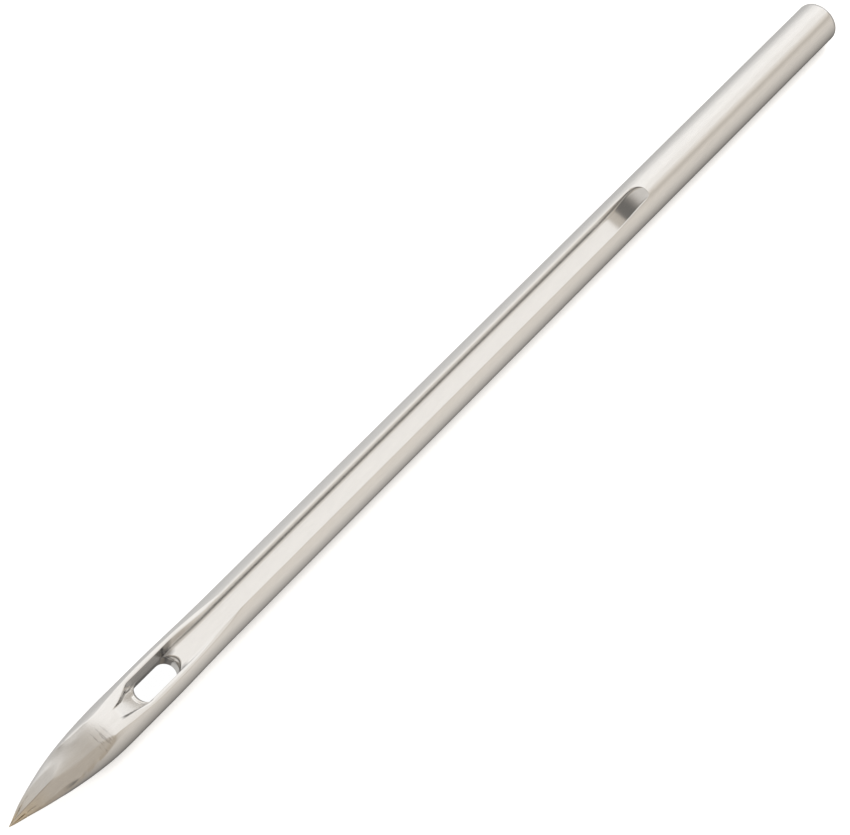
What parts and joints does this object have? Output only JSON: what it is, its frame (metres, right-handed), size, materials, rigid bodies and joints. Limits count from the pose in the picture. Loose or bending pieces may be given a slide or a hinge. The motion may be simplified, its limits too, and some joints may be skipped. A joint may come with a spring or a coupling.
{
  "type": "stitching awl needle",
  "caption": "Straight round steel needle for stitching leather and canvas: plain shank, long thread groove, eye near the end, and a ground lance point.",
  "frame": {"origin": "centre of the flat butt face, on the axis of the shank", "axes": "+X along the shank from the butt to the tip, +Z out of the open side of the thread groove, +Y to the left seen from above with the tip ahead"},
  "size_m": [0.062, 0.0024, 0.0024],
  "materials": {
    "needle_steel": "satin"
  },
  "bodies": {
    "root": {"needle": "needle_steel"}
  },
  "joints": []
}
